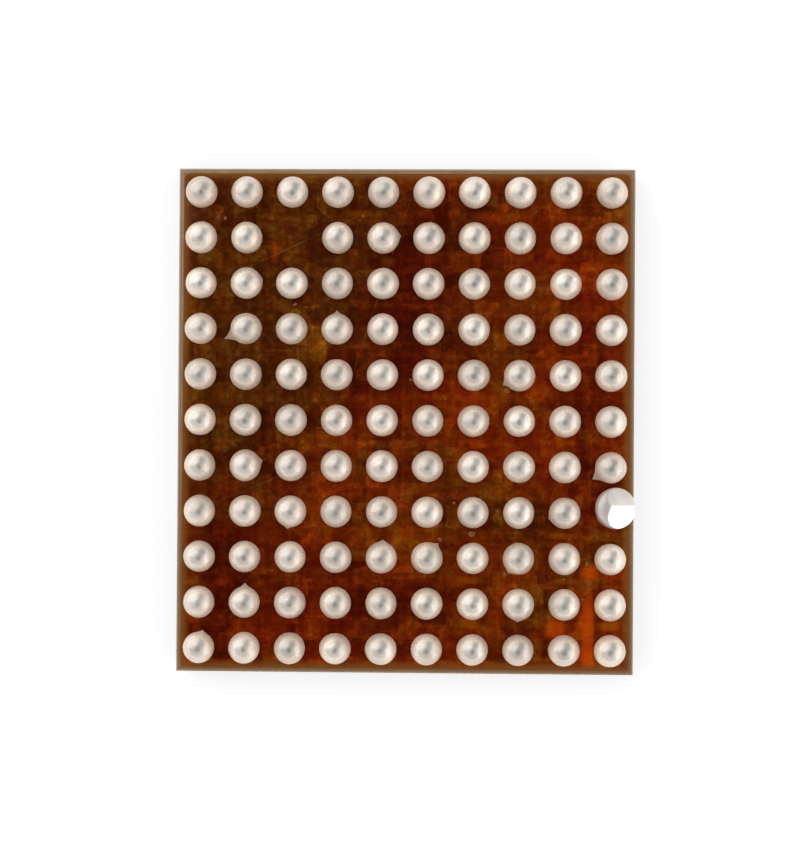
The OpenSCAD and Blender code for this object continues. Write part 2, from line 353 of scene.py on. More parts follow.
# the rim is paler towards one corner, and in places along the sides
spot = fit_node(tree, "ShaderNodeTexCoord").outputs["Object"]
to_corner = fit_node(tree, "ShaderNodeVectorMath", {0: spot, 1: palest_corner}, operation="DOT_PRODUCT")
paler_share = ramp_between(tree, to_corner.outputs["Value"], -0.0008, 0.0026, 0.05, 0.8)
paler_share = arithmetic(tree, "MULTIPLY", paler_share, ramp_between(tree, rim, 0.0, 0.00006, 1.0, 0.35))
paler_share = arithmetic(tree, "MULTIPLY", paler_share, ramp_between(tree, patches, 0.0, 1.0, 0.6, 1.0))
tone = blend_colours(tree, paler_share, tone, rim_ash)
tree.links.new(tone, shader.inputs["Base Color"])
tree.links.new(ramp_between(tree, speckle, 0.0, 1.0, 0.4, 0.65), shader.inputs["Roughness"])
shader.inputs["Specular IOR Level"].default_value = 0.2
raise_surface(tree, shader, speckle, 0.0000015, 0.6)
cad["wiring_stack"].material_slots[0].material = stack_glass

seal_finish, tree, shader = surface("seal_finish")
speckle = place_group(tree, grain, {"Per Metre": 60000.0, "Low": 0.3, "High": 0.75})["Value"]
tree.links.new(blend_colours(tree, speckle, seal_metal, rim_tan), shader.inputs["Base Color"])
shader.inputs["Metallic"].default_value = 0.6
tree.links.new(ramp_between(tree, speckle, 0.0, 1.0, 0.35, 0.55), shader.inputs["Roughness"])
raise_surface(tree, shader, speckle, 0.000001, 0.5)
cad["seal_ring"].material_slots[0].material = seal_finish

pad_finish, tree, shader = surface("pad_finish")
speckle = place_group(tree, grain, {"Per Metre": 90000.0, "Low": 0.3, "High": 0.7})["Value"]
tree.links.new(blend_colours(tree, speckle, pad_metal, pad_dull), shader.inputs["Base Color"])
shader.inputs["Metallic"].default_value = 1.0
tree.links.new(ramp_between(tree, speckle, 0.0, 1.0, 0.3, 0.5), shader.inputs["Roughness"])
cad["die_pads"].material_slots[0].material = pad_finish


# ---- Polymer coats and routed copper ----
# Two spun coats of polyimide with plated copper between them. The copper shows through the amber
# upper coat as redder and brighter areas, and the coat rises a little over it.
film_brown = (0.192, 0.0385, 0.00101, 1)
film_red = (0.255, 0.0265, 0.000448, 1)
film_olive = (0.115, 0.0298, 0.0009, 1)
film_deep = (0.111, 0.00722, 0.000224, 1)
film_orange = (0.744, 0.0928, 0.000896, 1)
film_ochre = (0.521, 0.127, 0.00269, 1)
film_yellow = (0.299, 0.0995, 0.00358, 1)
film_tan = (0.318, 0.115, 0.0234, 1)
film_pale = (0.446, 0.218, 0.0637, 1)
copper_new = (0.86, 0.42, 0.24, 1)
copper_aged = (0.5, 0.19, 0.08, 1)
copper_glow = (1.35, 1.15, 1.0, 1)
coat_step = (0.000004, 0.000002)
column_count = 10

ball_low, ball_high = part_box("balls_row_a")
ball_width = ball_high.y - ball_low.y
pitch = (ball_high.x - ball_low.x - ball_width) / (column_count - 1)
first_column_x = ball_low.x + ball_width / 2
first_row_y = (ball_low.y + ball_high.y) / 2

# patch: a soft-edged oval or square patch on the coat, in grid pitches from the first ball
patch, g_in, g_out = start_group("patch", {
    "Vector": [0.0, 0.0, 0.0], "Centre": [0.0, 0.0, 0.0], "Half": [1.0, 1.0, 1.0],
    "Squareness": 2.0, "Softness": 0.2,
}, {"Share": "Float"})
offset = fit_node(patch, "ShaderNodeVectorMath", {
    0: g_in["Vector"], 1: g_in["Centre"],
}, operation="SUBTRACT")
offset = fit_node(patch, "ShaderNodeVectorMath", {0: offset.outputs[0], 1: g_in["Half"]}, operation="DIVIDE")
offset = fit_node(patch, "ShaderNodeVectorMath", {0: offset.outputs[0]}, operation="ABSOLUTE")
offset = fit_node(patch, "ShaderNodeSeparateXYZ", {0: offset.outputs[0]}).outputs
powers = [arithmetic(patch, "POWER", offset[axis], g_in["Squareness"]) for axis in "XY"]
reach = arithmetic(patch, "ADD", *powers)
reach = arithmetic(patch, "POWER", reach, arithmetic(patch, "DIVIDE", 1.0, g_in["Squareness"]))
inner = arithmetic(patch, "SUBTRACT", 1.0, g_in["Softness"])
outer = arithmetic(patch, "ADD", 1.0, g_in["Softness"])
patch.links.new(ramp_between(patch, reach, inner, outer, 1.0, 0.0), g_out["Share"])

coat, tree, shader = surface("polyimide_coat")
spot = fit_node(tree, "ShaderNodeTexCoord").outputs["Object"]
to_grid = fit_node(tree, "ShaderNodeMapping", {
    "Vector": spot,
    "Location": (1 - first_column_x / pitch, -1 - first_row_y / pitch, 0),
    "Scale": (1 / pitch, 1 / pitch, 1 / pitch),
})
grid = to_grid.outputs["Vector"]
# the broad tones have edges that wander
wander = fit_node(tree, "ShaderNodeTexNoise", {"Vector": grid, "Scale": 1.6, "Detail": 4.0}).outputs["Color"]
wander = fit_node(tree, "ShaderNodeVectorMath", {0: wander, 1: (0.5, 0.5, 0.5)}, operation="SUBTRACT")
wander = fit_node(tree, "ShaderNodeVectorMath", {0: wander.outputs[0], "Scale": 1.1}, operation="SCALE")
wandered = fit_node(tree, "ShaderNodeVectorMath", {0: grid, 1: wander.outputs[0]}, operation="ADD")

broad = fit_node(tree, "ShaderNodeTexNoise", {"Vector": grid, "Scale": 0.55, "Detail": 3.0}).outputs["Fac"]
tone = blend_colours(tree, ramp_between(tree, broad, 0.35, 0.6), film_brown, film_red)

# broad tones: column, row, half width, half height, squareness, softness, colour, share
broad_tones = {
    "olive_corner": (0.3, 0.3, 5.3, 7.6, 2.0, 0.16, film_olive, 0.85),
    "deep_band": (5.35, 3.4, 0.7, 2.0, 2.5, 0.5, film_deep, 0.75),
    "deep_foot": (4.6, 5.1, 0.9, 0.35, 2.5, 0.5, film_deep, 0.6),
    "olive_middle_right": (8.2, 8.4, 0.9, 0.6, 2.0, 0.6, film_olive, 0.6),
    "olive_right_edge": (10.0, 8.7, 0.6, 0.4, 2.0, 0.6, film_olive, 0.7),
    "deep_low_left": (1.5, 10.0, 0.5, 1.4, 2.5, 0.5, film_deep, 0.6),
    "deep_low_middle": (5.6, 9.9, 1.6, 0.6, 2.5, 0.6, film_deep, 0.35),
    "deep_low_far_left": (2.7, 10.1, 2.6, 1.3, 2.5, 0.4, film_deep, 0.3),
    "deep_upper_middle": (6.5, 2.6, 0.8, 1.9, 2.5, 0.5, film_deep, 0.45),
    "deep_right": (9.6, 5.6, 0.35, 2.0, 2.5, 0.5, film_deep, 0.5),
    "yellow_patch": (3.5, 4.3, 0.42, 0.36, 3.0, 0.35, film_yellow, 0.75),
    "yellow_streak": (3.0, 3.48, 0.45, 0.12, 3.0, 0.4, film_yellow, 0.5),
    "deep_bare_site": (3.0, 2.0, 0.45, 0.45, 2.5, 0.5, film_deep, 0.35),
    "deep_left": (1.5, 8.5, 0.35, 0.4, 2.5, 0.5, film_deep, 0.5),
    "deep_second_column": (2.5, 7.6, 0.3, 1.7, 2.5, 0.5, film_deep, 0.35),
    "deep_middle": (5.5, 7.0, 0.4, 0.8, 2.5, 0.5, film_deep, 0.4),
    "deep_top": (6.6, 1.5, 0.9, 0.3, 2.5, 0.5, film_deep, 0.35),
    "deep_top_left": (4.5, 1.5, 0.4, 0.3, 2.5, 0.5, film_deep, 0.3),
    "tan_left": (1.5, 3.05, 0.12, 0.2, 2.0, 0.6, film_tan, 0.4),
    "tan_corner": (1.0, 1.55, 0.35, 0.12, 2.0, 0.6, film_tan, 0.3),
}


def lay_patches(tree, tone, vector, patches):
    """Blends each patch's colour over the tone, in the order given."""
    for column, row, half_x, half_y, squareness, softness, colour, share in patches.values():
        here = place_group(tree, patch, {
            "Vector": vector, "Centre": (column, -row, 0), "Half": (half_x, half_y, 1),
            "Squareness": squareness, "Softness": softness,
        })["Share"]
        tone = blend_colours(tree, arithmetic(tree, "MULTIPLY", here, share), tone, colour)
    return tone


tone = lay_patches(tree, tone, wandered.outputs[0], broad_tones)

# copper under the coat: the coat stands higher there, and looks a little redder and brighter
coat_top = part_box("upper_polymer")[1].z
coat_height = fit_node(tree, "ShaderNodeSeparateXYZ", {0: spot}).outputs["Z"]
over_copper = ramp_between(tree, coat_height, coat_top - coat_step[0], coat_top - coat_step[1])
glowing = blend_colours(tree, 1.0, tone, copper_glow, "MULTIPLY")
tone = blend_colours(tree, arithmetic(tree, "MULTIPLY", over_copper, 0.55), tone, glowing)

# blocks of wiring in the chip below show as faint squares and lines
blocks = fit_node(tree, "ShaderNodeTexVoronoi", {
    "Vector": grid, "Scale": 2.3, "Randomness": 0.8,
}, distance="CHEBYCHEV")
block_tone = fit_node(tree, "ShaderNodeSeparateColor", {0: blocks.outputs["Color"]}).outputs
wires = []
for stretch in ((6.0, 0.3, 1.0), (0.35, 5.0, 1.0)):
    drawn = fit_node(tree, "ShaderNodeMapping", {"Vector": grid, "Scale": stretch}).outputs[0]
    threads = fit_node(tree, "ShaderNodeTexNoise", {"Vector": drawn, "Scale": 1.0, "Detail": 3.0})
    wires.append(threads.outputs["Fac"])
wires = arithmetic(tree, "MULTIPLY", arithmetic(tree, "ADD", *wires), 0.5)
wires = ramp_between(tree, wires, 0.4, 0.6, 0.86, 1.14)
mottle = fit_node(tree, "ShaderNodeTexNoise", {
    "Vector": grid, "Scale": 6.0, "Detail": 5.0, "Roughness": 0.7,
}).outputs["Fac"]
shade = arithmetic(tree, "MULTIPLY", wires, ramp_between(tree, mottle, 0.3, 0.7, 0.73, 1.26))
shade = arithmetic(tree, "MULTIPLY", shade, ramp_between(tree, block_tone[0], 0.0, 1.0, 0.8, 1.2))
hue = fit_node(tree, "ShaderNodeTexNoise", {
    "Vector": grid, "Scale": 4.0, "Detail": 7.0, "Roughness": 0.75,
}).outputs["Fac"]
greener = arithmetic(tree, "POWER", shade, 1.7)
greener = arithmetic(tree, "MULTIPLY", greener, ramp_between(tree, hue, 0.36, 0.66, 0.8, 1.26))
bluer = arithmetic(tree, "MULTIPLY", greener, ramp_between(tree, mottle, 0.42, 0.7, 0.4, 3.2))
shade = fit_node(tree, "ShaderNodeCombineColor", {0: shade, 1: greener, 2: bluer}).outputs[0]
tone = blend_colours(tree, 1.0, tone, shade, "MULTIPLY")

# windows where the coat is thin and the copper shines through, given as the broad tones are
windows = {
    "copper_bar": (9.53, 10.62, 0.12, 0.78, 4.0, 0.35, film_orange, 0.75),
    "bar_middle": (9.5, 10.35, 0.16, 0.22, 2.0, 0.6, film_orange, 0.4),
    "bar_foot": (9.51, 11.12, 0.12, 0.22, 3.0, 0.5, film_orange, 0.6),
    "bar_end": (9.56, 9.32, 0.17, 0.16, 3.0, 0.5, film_orange, 0.7),
    "square_window": (8.82, 10.55, 0.2, 0.17, 4.0, 0.4, film_orange, 0.65),
    "square_window_foot": (8.5, 10.72, 0.08, 0.1, 2.0, 0.6, film_red, 0.8),
    "brown_window": (10.0, 10.48, 0.22, 0.1, 4.0, 0.4, film_ochre, 0.5),
    "brown_window_left": (6.95, 10.45, 0.2, 0.1, 4.0, 0.5, film_ochre, 0.45),
    "brown_window_up": (6.95, 9.5, 0.26, 0.07, 4.0, 0.5, film_ochre, 0.4),
    "right_mark": (8.95, 8.52, 0.26, 0.06, 4.0, 0.5, film_ochre, 0.4),
    "low_mark": (9.05, 9.5, 0.28, 0.06, 4.0, 0.5, film_ochre, 0.35),
    "bare_site_mark": (2.6, 2.29, 0.07, 0.17, 2.0, 0.9, film_orange, 0.4),
    "top_mark": (5.1, 2.5, 0.14, 0.09, 2.0, 0.7, film_ochre, 0.35),
    "upper_mark": (4.5, 1.45, 0.3, 0.08, 2.0, 0.7, film_ochre, 0.35),
    "far_upper_mark": (7.25, 1.5, 0.25, 0.1, 2.0, 0.7, film_orange, 0.25),
    "middle_mark": (5.5, 8.5, 0.2, 0.12, 2.0, 0.7, film_orange, 0.25),
    "brown_mark_third": (3.5, 6.5, 0.3, 0.25, 2.5, 0.6, film_ochre, 0.12),
    "red_mark_second": (2.5, 8.5, 0.3, 0.25, 2.5, 0.6, film_red, 0.5),
    "brown_mark_sixth": (6.5, 9.5, 0.3, 0.2, 2.5, 0.6, film_ochre, 0.14),
    "brown_mark_seventh": (7.5, 4.5, 0.3, 0.3, 2.5, 0.6, film_ochre, 0.1),
    "tan_side_upper": (0.56, 1.8, 0.07, 0.35, 2.5, 0.6, film_tan, 0.5),
    "tan_side_middle": (0.56, 3.6, 0.06, 0.55, 2.5, 0.6, film_tan, 0.45),
    "upright_line_right": (7.68, 6.3, 0.1, 1.7, 4.0, 0.6, film_ochre, 0.12),
    "upright_line_low": (3.65, 9.6, 0.14, 1.5, 4.0, 0.6, film_red, 0.4),
    "upright_line_top": (6.7, 2.8, 0.1, 1.6, 4.0, 0.6, film_ochre, 0.06),
    "upright_line_far": (8.5, 3.5, 0.1, 2.3, 4.0, 0.6, film_red, 0.3),
    "level_line_eight": (5.5, 8.52, 1.5, 0.12, 4.0, 0.6, film_ochre, 0.09),
    "level_line_three": (8.6, 3.55, 1.4, 0.12, 4.0, 0.6, film_ochre, 0.08),
    "level_line_ten": (8.4, 10.45, 1.5, 0.12, 4.0, 0.6, film_ochre, 0.08),
    "level_line_five": (5.6, 5.65, 1.4, 0.1, 4.0, 0.6, film_red, 0.4),
}
tone = lay_patches(tree, tone, grid, windows)
tone = blend_colours(tree, 0.3, tone, shade, "MULTIPLY")

# thin pale scratches from handling: column and row of each end, and the share of pale
scratches = {
    "by_bare_site": (2.2, 2.55, 4.85, 1.3, 0.3),
    "steep": (5.6, 1.1, 4.2, 5.4, 0.26),
    "low_left": (0.8, 8.05, 3.3, 7.0, 0.16),
    "upper_right": (7.2, 2.2, 9.4, 3.1, 0.1),
}
scratch_half_width = 0.014
broken = fit_node(tree, "ShaderNodeTexNoise", {"Vector": grid, "Scale": 2.6, "Detail": 4.0}).outputs["Fac"]
broken = ramp_between(tree, broken, 0.4, 0.6, 0.3, 1.0)
for from_column, from_row, to_column, to_row, share in scratches.values():
    run = Vector((to_column - from_column, from_row - to_row, 0))
    middle = ((from_column + to_column) / 2, -(from_row + to_row) / 2, 0)
    laid = fit_node(tree, "ShaderNodeVectorMath", {0: grid, 1: middle}, operation="SUBTRACT").outputs[0]
    laid = fit_node(tree, "ShaderNodeVectorRotate", {
        "Vector": laid, "Angle": -math.atan2(run.y, run.x),
    }, rotation_type="Z_AXIS").outputs[0]
    line = place_group(tree, patch, {
        "Vector": laid, "Half": (run.length / 2, scratch_half_width, 1), "Squareness": 2.0, "Softness": 0.45,
    })["Share"]
    line = arithmetic(tree, "MULTIPLY", line, broken)
    tone = blend_colours(tree, arithmetic(tree, "MULTIPLY", line, share), tone, film_pale)

# the coat thins and pales towards its outer edge
rim = place_group(tree, from_edge, {"Half X": die_high.x, "Half Y": die_high.y})["Distance"]
tone = blend_colours(tree, ramp_between(tree, rim, 0.00004, 0.00013, 0.8, 0.0), tone, film_tan)

tree.links.new(tone, shader.inputs["Base Color"])
smear = fit_node(tree, "ShaderNodeTexNoise", {"Vector": grid, "Scale": 1.3, "Detail": 6.0}).outputs["Fac"]
tree.links.new(ramp_between(tree, smear, 0.3, 0.7, 0.24, 0.42), shader.inputs["Roughness"])
shader.inputs["Specular IOR Level"].default_value = 0.04
fine = place_group(tree, grain, {"Per Metre": 40000.0, "Low": 0.3, "High": 0.7})["Value"]
raise_surface(tree, shader, fine, 0.0000006, 0.5)
cad["upper_polymer"].material_slots[0].material = coat

lower_coat, tree, shader = surface("lower_polyimide")
fine = place_group(tree, grain, {"Per Metre": 40000.0, "Low": 0.3, "High": 0.7})["Value"]
tree.links.new(blend_colours(tree, fine, film_tan, film_yellow), shader.inputs["Base Color"])
tree.links.new(ramp_between(tree, fine, 0.0, 1.0, 0.28, 0.4), shader.inputs["Roughness"])
cad["lower_polymer"].material_slots[0].material = lower_coat

plated_copper, tree, shader = surface("plated_copper")
fine = place_group(tree, grain, {"Per Metre": 80000.0, "Low": 0.35, "High": 0.7})["Value"]
tree.links.new(blend_colours(tree, fine, copper_new, copper_aged), shader.inputs["Base Color"])
shader.inputs["Metallic"].default_value = 1.0
tree.links.new(ramp_between(tree, fine, 0.0, 1.0, 0.25, 0.5), shader.inputs["Roughness"])
raise_surface(tree, shader, fine, 0.0000008, 0.5)
for name, node in cad.items():
    if name.startswith(("signal_copper", "copper_plane")):
        node.material_slots[0].material = plated_copper


# ---- Contact dishes ----
# Plated nickel with a thin gold skin, one dish in each opening of the upper coat. Its lip shows as
# a thin bright ring under the ball.
dish_metal = (0.72, 0.66, 0.52, 1)
dish_stain = (0.36, 0.22, 0.12, 1)

dish_finish, tree, shader = surface("dish_finish")
fine = place_group(tree, grain, {"Per Metre": 70000.0, "Low": 0.35, "High": 0.7})["Value"]
tree.links.new(blend_colours(tree, fine, dish_metal, dish_stain), shader.inputs["Base Color"])
shader.inputs["Metallic"].default_value = 1.0
tree.links.new(ramp_between(tree, fine, 0.0, 1.0, 0.28, 0.5), shader.inputs["Roughness"])
raise_surface(tree, shader, fine, 0.0000008, 0.5)
row_letters = [name[-1] for name in sorted(cad) if name.startswith("contact_dishes_row_")]
for letter in row_letters:
    cad["contact_dishes_row_" + letter].material_slots[0].material = dish_finish


# ---- Solder balls ----
# Tin-silver-copper solder, dropped on fluxed dishes and melted once, so that each is a round drop
# cut flat by its dish. The skin is satin with fine frozen crystals; its lower part is tinted amber, for a
# trace of flux and as a painted reflection of the amber coat.
solder_pale = (0.96, 0.89, 0.81, 1)
solder_grey = (0.9, 0.83, 0.76, 1)
# amber for the lower part of each ball: a flux stain, and a painted reflection of the amber coat
amber_flux_and_reflection = (1.0, 0.9, 0.82, 1)
flux_haze = (1.0, 0.8, 0.64, 1)
ball_segments = 40
ball_rings = 22
out_of_round = 0.03
most_sunk = 0.025
skin_waves = 0.000005
skin_wave_spread = 0.00011
skin_grain_depth = 0.0000012
smooth_below = math.radians(40)
cut_tolerance = 1e-9
bare_site = (3, 2)
slumped_site = (10, 8)

# solder_skin: frozen crystals, and an amber tint on the lower part between two heights, for flux and as a
# painted reflection of the amber coat
solder_skin, g_in, g_out = start_group("solder_skin", {
    "Pale": (0.9, 0.9, 0.9, 1), "Grey": (0.7, 0.7, 0.7, 1), "Flux And Reflection": (0.8, 0.6, 0.4, 1),
    "Flux From": 0.0005, "Flux To": 0.0004, "Bare Metal": 0.8, "Amber Band Metal": 0.2,
}, {"Color": "Color", "Metallic": "Float", "Roughness": "Float", "Height": "Float"})
spot = fit_node(solder_skin, "ShaderNodeTexCoord").outputs["Object"]
crystals = fit_node(solder_skin, "ShaderNodeTexVoronoi", {
    "Vector": spot, "Scale": 42000.0, "Randomness": 1.0,
}, feature="SMOOTH_F1").outputs["Distance"]
veins = fit_node(solder_skin, "ShaderNodeTexNoise", {
    "Vector": spot, "Scale": 24000.0, "Detail": 5.0, "Roughness": 0.6, "Distortion": 1.5,
}).outputs["Fac"]
clouds = fit_node(solder_skin, "ShaderNodeTexNoise", {"Vector": spot, "Scale": 6000.0, "Detail": 2.0})
mixed = arithmetic(
    solder_skin, "ADD",
    arithmetic(solder_skin, "MULTIPLY", veins, 0.6),
    arithmetic(solder_skin, "MULTIPLY", clouds.outputs["Fac"], 0.4),
)
skin = blend_colours(solder_skin, ramp_between(solder_skin, mixed, 0.38, 0.62), g_in["Grey"], g_in["Pale"])
patina = fit_node(solder_skin, "ShaderNodeTexNoise", {"Vector": spot, "Scale": 3100.0, "Detail": 2.0})
patina = ramp_between(solder_skin, patina.outputs["Fac"], 0.36, 0.64, 0.86, 1.1)
skin = blend_colours(solder_skin, 1.0, skin, patina, "MULTIPLY")
level = fit_node(solder_skin, "ShaderNodeSeparateXYZ", {0: spot}).outputs["Z"]
# the amber band low on the ball: a flux stain, and a painted reflection of the amber coat
amber_band = ramp_between(solder_skin, level, g_in["Flux From"], g_in["Flux To"])
amber_tinted = blend_colours(solder_skin, 1.0, skin, g_in["Flux And Reflection"], "MULTIPLY")
skin = blend_colours(solder_skin, amber_band, skin, amber_tinted)
solder_skin.links.new(skin, g_out["Color"])
metal = fit_node(solder_skin, "ShaderNodeMix", {0: amber_band, 2: g_in["Bare Metal"], 3: g_in["Amber Band Metal"]})
solder_skin.links.new(metal.outputs[0], g_out["Metallic"])
solder_skin.links.new(ramp_between(solder_skin, mixed, 0.35, 0.65, 0.36, 0.25), g_out["Roughness"])
height = arithmetic(solder_skin, "ADD", crystals, veins)
solder_skin.links.new(height, g_out["Height"])

ball_radius = ball_width / 2
dish_low, dish_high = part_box("contact_dishes_row_a")
lip_top = dish_high.z
lip_radius = (dish_high.y - dish_low.y) / 2
ball_centre_z = ball_high.z - ball_radius
fill_bottom = ball_low.z
fill_radius = 0.000091

ball_metal, tree, shader = surface("ball_solder")
skin = place_group(tree, solder_skin, {
    "Pale": solder_pale, "Grey": solder_grey, "Flux And Reflection": amber_flux_and_reflection,
    "Flux From": ball_high.z - ball_radius * 0.06, "Flux To": ball_high.z - ball_radius * 0.36,
    "Bare Metal": 0.85, "Amber Band Metal": 0.25,
})
tree.links.new(skin["Color"], shader.inputs["Base Color"])
tree.links.new(skin["Roughness"], shader.inputs["Roughness"])
tree.links.new(skin["Metallic"], shader.inputs["Metallic"])
shader.inputs["Sheen Weight"].default_value = 0.5
shader.inputs["Sheen Roughness"].default_value = 0.6
shader.inputs["Sheen Tint"].default_value = flux_haze
raise_surface(tree, shader, skin["Height"], skin_grain_depth, 0.13)

# one ball: a sphere cut at the lip, with the solder that fills the dish below
bpy.ops.object.select_all(action="DESELECT")
bpy.ops.mesh.primitive_uv_sphere_add(
    segments=ball_segments, ring_count=ball_rings, radius=ball_radius, location=(0, 0, ball_centre_z),
)
ball = bpy.context.object
ball.name = "ball"
bpy.ops.object.transform_apply(location=True, rotation=True, scale=True)
bpy.ops.object.mode_set(mode="EDIT")
bpy.ops.mesh.select_all(action="SELECT")
bpy.ops.mesh.bisect(
    plane_co=(0, 0, lip_top), plane_no=(0, 0, 1), use_fill=True, clear_inner=True, threshold=cut_tolerance,
)
bpy.ops.mesh.inset(thickness=lip_radius - fill_radius, use_even_offset=False)
bpy.ops.mesh.extrude_region_move(TRANSFORM_OT_translate={"value": (0, 0, fill_bottom - lip_top)})
bpy.ops.object.mode_set(mode="OBJECT")

# points drawn out in the melt: column, row, compass direction, angle from overhead, length, breadth
drawn_points = [
    (2, 4, 203, 106, 0.00009, 0.00008), (4, 4, 92, 95, 0.00003, 0.00006),
    (10, 7, 215, 104, 0.00006, 0.00008), (2, 7, 15, 95, 0.000024, 0.00006),
    (2, 10, 88, 95, 0.000035, 0.00006), (3, 8, 262, 95, 0.00002, 0.00006),
    (1, 11, 80, 90, 0.00002, 0.00006), (5, 9, 88, 90, 0.00002, 0.00006),
    (2, 3, 12, 92, 0.00001, 0.00007), (9, 8, 200, 95, 0.000012, 0.00006),
    (8, 10, 265, 100, 0.000022, 0.00008), (8, 5, 213, 100, 0.00003, 0.00006),
    (6, 9, 50, 95, 0.000025, 0.00005), (8, 9, 235, 100, 0.00002, 0.00006),
    (5, 2, 5, 92, 0.000018, 0.00008),
]


def draw_out(piece, centre, compass, from_overhead, length, breadth):
    """Pulls the skin of a ball out to a blunt point in one direction."""
    compass, from_overhead = math.radians(compass), math.radians(from_overhead)
    heading = Vector((
        math.sin(from_overhead) * math.cos(compass),
        math.sin(from_overhead) * math.sin(compass),
        math.cos(from_overhead),
    ))
    tip = max(piece.data.vertices, key=lambda v: (v.co - centre).dot(heading)).index
    bpy.ops.object.select_all(action="DESELECT")
    bpy.context.view_layer.objects.active = piece
    piece.select_set(True)
    bpy.ops.object.mode_set(mode="EDIT")
    bpy.ops.mesh.select_all(action="DESELECT")
    bpy.ops.object.mode_set(mode="OBJECT")
    piece.data.vertices[tip].select = True
    bpy.ops.object.mode_set(mode="EDIT")
    bpy.ops.transform.translate(
        value=heading * length, use_proportional_edit=True,
        proportional_edit_falloff="SHARP", proportional_size=breadth,
    )
    bpy.ops.object.mode_set(mode="OBJECT")


random.seed(11)
skin_texture = bpy.data.textures.new("ball_waves", "CLOUDS")
skin_texture.noise_scale = skin_wave_spread
for row, letter in enumerate(row_letters, start=1):
    row_low, row_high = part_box("balls_row_" + letter)
    row_y = (row_low.y + row_high.y) / 2
    copies = []
    for column in range(1, column_count + 1):
        column_x = first_column_x + (column - 1) * pitch
        squash_x = 1 - random.uniform(0, out_of_round)
        squash_y = 1 - random.uniform(0, out_of_round)
        sink = 1 - random.uniform(0, most_sunk)
        turn = random.uniform(0, math.tau)
        if (column, row) in (bare_site, slumped_site):
            continue
        copy = ball.copy()
        copy.data = ball.data.copy()
        bpy.context.scene.collection.objects.link(copy)
        to_site = Matrix.Translation((column_x, row_y, 0))
        stretch = Matrix.Diagonal((squash_x, squash_y, 1, 1))
        to_lip = Matrix.Translation((0, 0, lip_top))
        from_lip = Matrix.Translation((0, 0, -lip_top))
        settle = to_lip @ Matrix.Diagonal((1, 1, sink, 1)) @ from_lip
        copy.data.transform(to_site @ stretch @ settle @ Matrix.Rotation(turn, 4, "Z"))
        centre = Vector((column_x, row_y, ball_centre_z))
        for at_column, at_row, compass, from_overhead, length, breadth in drawn_points:
            if (at_column, at_row) == (column, row):
                draw_out(copy, centre, compass, from_overhead, length, breadth)
        copies.append(copy)
    bpy.ops.object.select_all(action="DESELECT")
    for copy in copies:
        copy.select_set(True)
    bpy.context.view_layer.objects.active = copies[0]
    bpy.ops.object.join()
    row_piece = bpy.context.object
    row_piece.name = "solder_row_" + letter
    waves = row_piece.modifiers.new("waves", "DISPLACE")
    waves.texture = skin_texture
    waves.texture_coords = "LOCAL"
    waves.strength = skin_waves
    waves.mid_level = 1.0
    bpy.ops.object.modifier_apply(modifier=waves.name)
    bpy.ops.object.shade_smooth_by_angle(angle=smooth_below)
    row_piece.data.materials.clear()
    row_piece.data.materials.append(ball_metal)
    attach(row_piece, "root")
    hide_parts("balls_row_" + letter)
bpy.data.objects.remove(ball)


# ---- Slumped ball ----
# One ball in the last column has run wide over its dish as far as the sawn edge, and has two flats. Skin
# turned towards the right-hand lamp, the lower flat among it, and a patch at its lower right carry a painted
# highlight; the rest of its skin is dull.
slump_low, slump_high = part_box("slumped_ball")
slump_site = Vector((
    first_column_x + (slumped_site[0] - 1) * pitch,
    first_row_y - (slumped_site[1] - 1) * pitch,
    lip_top,
))
# the painted highlight's colour, and the way the highlighted skin faces
painted_highlight_white = (0.97, 0.96, 0.94, 1)
highlight_facing = (0.8, -0.2, 0.566)
# where the painted highlight patch fades in along X and out along Y, from the ball's site
highlight_patch_left = (-0.00003, 0.0)
highlight_patch_top = (0.00001, 0.00005)
sawn_away = 0.000018
drawn_in = 0.000014
blob_half_x = (slump_high.x + sawn_away - slump_low.x) / 2
blob_half_y = (slump_high.y - slump_low.y) / 2 - drawn_in
blob_height = slump_high.z - lip_top
blob_centre = Vector((slump_low.x + blob_half_x, slump_high.y - blob_half_y, lip_top + blob_height / 2))
shoulder = 0.000082
foot = 0.00004
voxel = 0.0000045
enlarged = 1000
soften_rounds = 24
facets = [
    # a point on each flat, from the ball's site, and the way it faces
    ((-0.000035, -0.00003, 0.00016), (0.432, -0.14, 0.891)),
    ((0.0001, 0.00007, 0.00011), (0.416, 0.29, 0.862)),
]

bpy.ops.object.select_all(action="DESELECT")
bpy.ops.mesh.primitive_cylinder_add(vertices=72, radius=blob_half_x, depth=blob_height, location=blob_centre)
slump = bpy.context.object
slump.name = "slumped_solder"
bpy.ops.object.transform_apply(location=True, rotation=True, scale=True)
bpy.ops.object.mode_set(mode="EDIT")
bpy.ops.mesh.select_all(action="DESELECT")
bpy.ops.mesh.select_mode(type="EDGE")
for width, level, steps in ((shoulder, slump_high.z, 12), (foot, lip_top, 6)):
    bpy.ops.mesh.select_all(action="DESELECT")
    bpy.ops.object.mode_set(mode="OBJECT")
    for edge in slump.data.edges:
        ends = [slump.data.vertices[v].co.z for v in edge.vertices]
        edge.select = max(abs(z - level) for z in ends) < 1e-7
    bpy.ops.object.mode_set(mode="EDIT")
    bpy.ops.mesh.bevel(offset=width, segments=steps, profile=0.5, affect="EDGES")
bpy.ops.mesh.select_all(action="SELECT")
bpy.ops.transform.resize(value=(1, blob_half_y / blob_half_x, 1), center_override=blob_centre)
for place, facing in facets:
    bpy.ops.mesh.select_all(action="SELECT")
    bpy.ops.mesh.bisect(
        plane_co=slump_site + Vector(place), plane_no=facing,
        use_fill=True, clear_outer=True, threshold=cut_tolerance,
    )
